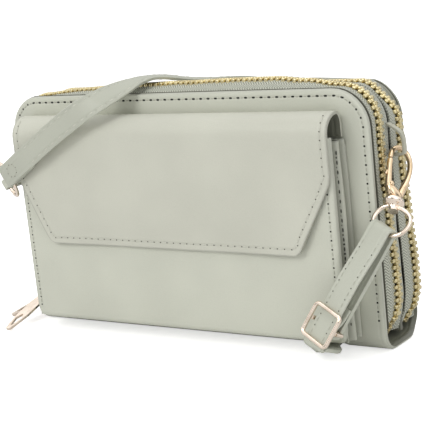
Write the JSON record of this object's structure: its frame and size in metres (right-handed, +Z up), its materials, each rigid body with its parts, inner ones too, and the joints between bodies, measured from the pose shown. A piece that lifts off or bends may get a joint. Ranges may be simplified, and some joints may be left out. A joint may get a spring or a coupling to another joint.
{
  "type": "phone pouch",
  "caption": "Soft zip-around wallet pouch with a flapped phone pocket on its front, zip pulls at one end and a slim crossbody strap held by a swivel clasp and ring.",
  "frame": {"origin": "middle of the flat underside of the body, on the surface it stands on", "axes": "+X to the right along the pouch's width, +Y from the phone pocket to the back, +Z up"},
  "size_m": [0.2387, 0.1098, 0.1233],
  "materials": {
    "cover_leather": "pale sage-green pebbled imitation leather, satin",
    "strap_leather": "pale sage-green imitation leather with sewn edges",
    "zip_tape": "sage-green woven herringbone zip tape",
    "zip_teeth": "pale gold metal teeth",
    "plated_metal": "polished pale champagne plating on cast metal",
    "lining": "plain woven lining",
    "magnet": "plain disc sewn in behind the leather",
    "tie": "plain pale band"
  },
  "bodies": {
    "pouch": {"back_cover": "cover_leather", "back_lining": "lining", "bottom_wrap": "cover_leather", "divider_panel": "lining", "flap_root_strip": "cover_leather", "front_cover": "cover_leather", "front_lining": "lining", "front_zip_inner_tape": "zip_tape", "front_zip_inner_teeth": "zip_teeth", "front_zip_outer_tape": "zip_tape", "front_zip_outer_teeth": "zip_teeth", "left_ring_tab": "cover_leather", "pocket_back_panel": "cover_leather", "pocket_bottom_strip": "cover_leather", "pocket_front_panel": "cover_leather", "pocket_gusset_left": "cover_leather", "pocket_gusset_right": "cover_leather", "pocket_magnet": "magnet", "rear_zip_inner_tape": "zip_tape", "rear_zip_inner_teeth": "zip_teeth", "rear_zip_outer_tape": "zip_tape", "rear_zip_outer_teeth": "zip_teeth", "right_strap_tab": "cover_leather", "strap_hank": "strap_leather", "strap_left_end": "strap_leather", "strap_left_run": "strap_leather", "strap_lower_turn": "strap_leather", "strap_tie": "tie", "strap_under_run": "strap_leather"},
    "flap": {"flap": "cover_leather", "flap_magnet": "magnet"},
    "front_slider": {"front_zip_slider": "plated_metal"},
    "front_pull": {"front_zip_pull": "plated_metal"},
    "rear_slider": {"rear_zip_slider": "plated_metal"},
    "rear_pull": {"rear_zip_pull": "plated_metal"},
    "right_clasp": {"clasp_hook": "plated_metal", "clasp_gate_pin": "plated_metal", "clasp_swivel_post": "plated_metal", "strap_adjusting_loop": "strap_leather"},
    "right_gate": {"clasp_gate": "plated_metal"},
    "right_ring": {"clasp_swivel_ring": "plated_metal"},
    "buckle": {"buckle_frame": "plated_metal", "buckle_middle_bar": "plated_metal"},
    "left_ring": {"left_strap_ring": "plated_metal"}
  },
  "joints": [
    {"name": "flap_hinge", "type": "hinge", "parent": "pouch", "child": "flap", "pos_m": [0, -0.025, 0.1074], "axis": [-1, 0, 0], "range_deg": [0, 130], "deforming": ["strap_left_end", "strap_left_run"]},
    {"name": "front_slider_run", "type": "slide", "parent": "pouch", "child": "front_slider", "axis": [0, 0, 1], "range_m": [0, 0.045], "deforming": ["front_zip_outer_teeth", "front_zip_inner_teeth"]},
    {"name": "front_pull_swing", "type": "hinge", "parent": "front_slider", "child": "front_pull", "pos_m": [-0.10575, -0.0092, 0.0095], "axis": [0, 0, -1], "range_deg": [0, 20]},
    {"name": "rear_slider_run", "type": "slide", "parent": "pouch", "child": "rear_slider", "axis": [0, 0, 1], "range_m": [0, 0.045], "deforming": ["rear_zip_outer_teeth", "rear_zip_inner_teeth"]},
    {"name": "rear_pull_swing", "type": "hinge", "parent": "rear_slider", "child": "rear_pull", "pos_m": [-0.10575, 0.0092, 0.0095], "axis": [0, 0, -1], "range_deg": [0, 80]},
    {"name": "clasp_swing", "type": "hinge", "parent": "pouch", "child": "right_clasp", "pos_m": [0.10422, -0.00235, 0.08288], "axis": [-0.9863, -0.1187, -0.1145], "range_deg": [0, 15], "deforming": ["strap_adjusting_loop", "strap_under_run"]},
    {"name": "clasp_gate_open", "type": "hinge", "parent": "right_clasp", "child": "right_gate", "pos_m": [0.10657, -0.01583, 0.07668], "axis": [-0.9863, -0.1187, -0.1145], "range_deg": [0, 26], "stiffness_Nm_per_rad": 0.01, "springref_deg": -11.46},
    {"name": "clasp_swivel", "type": "hinge", "parent": "right_clasp", "child": "right_ring", "pos_m": [0.1034, 0.0012, 0.0863], "axis": [0.165, -0.7098, -0.6848], "continuous": true},
    {"name": "buckle_run", "type": "slide", "parent": "right_clasp", "child": "buckle", "axis": [0.4408, 0.3215, 0.8381], "range_m": [0, 0.016]},
    {"name": "left_ring_swing", "type": "hinge", "parent": "pouch", "child": "left_ring", "pos_m": [-0.0942, -0.0363, 0.0809], "axis": [0.5349, -0.0036, -0.8449], "range_deg": [-12, 12], "deforming": ["left_ring_tab"]}
  ]
}
